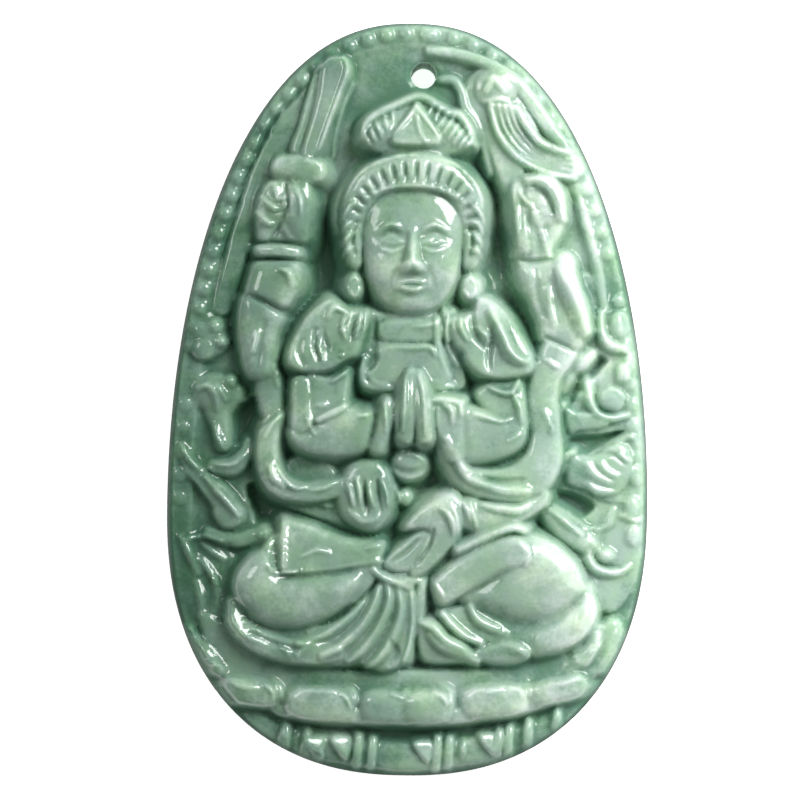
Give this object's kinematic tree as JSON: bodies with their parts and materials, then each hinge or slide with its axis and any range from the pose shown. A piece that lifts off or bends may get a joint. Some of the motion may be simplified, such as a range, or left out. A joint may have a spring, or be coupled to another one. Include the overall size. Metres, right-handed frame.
{
  "type": "jade buddha pendant",
  "caption": "Egg-shaped jade pendant carved in relief with a seated many-armed figure on a lotus seat, a beaded border and a drilled cord hole.",
  "frame": {"origin": "middle of the flat back face", "axes": "the pendant lies on its back: +X to the right of the carving, +Y to its top, +Z out of the relief"},
  "size_m": [0.0364, 0.057, 0.0078],
  "materials": {
    "jade": "polished, slightly see-through, mottled grey-green"
  },
  "bodies": {
    "root": {"jade_pendant": "jade"}
  },
  "joints": []
}
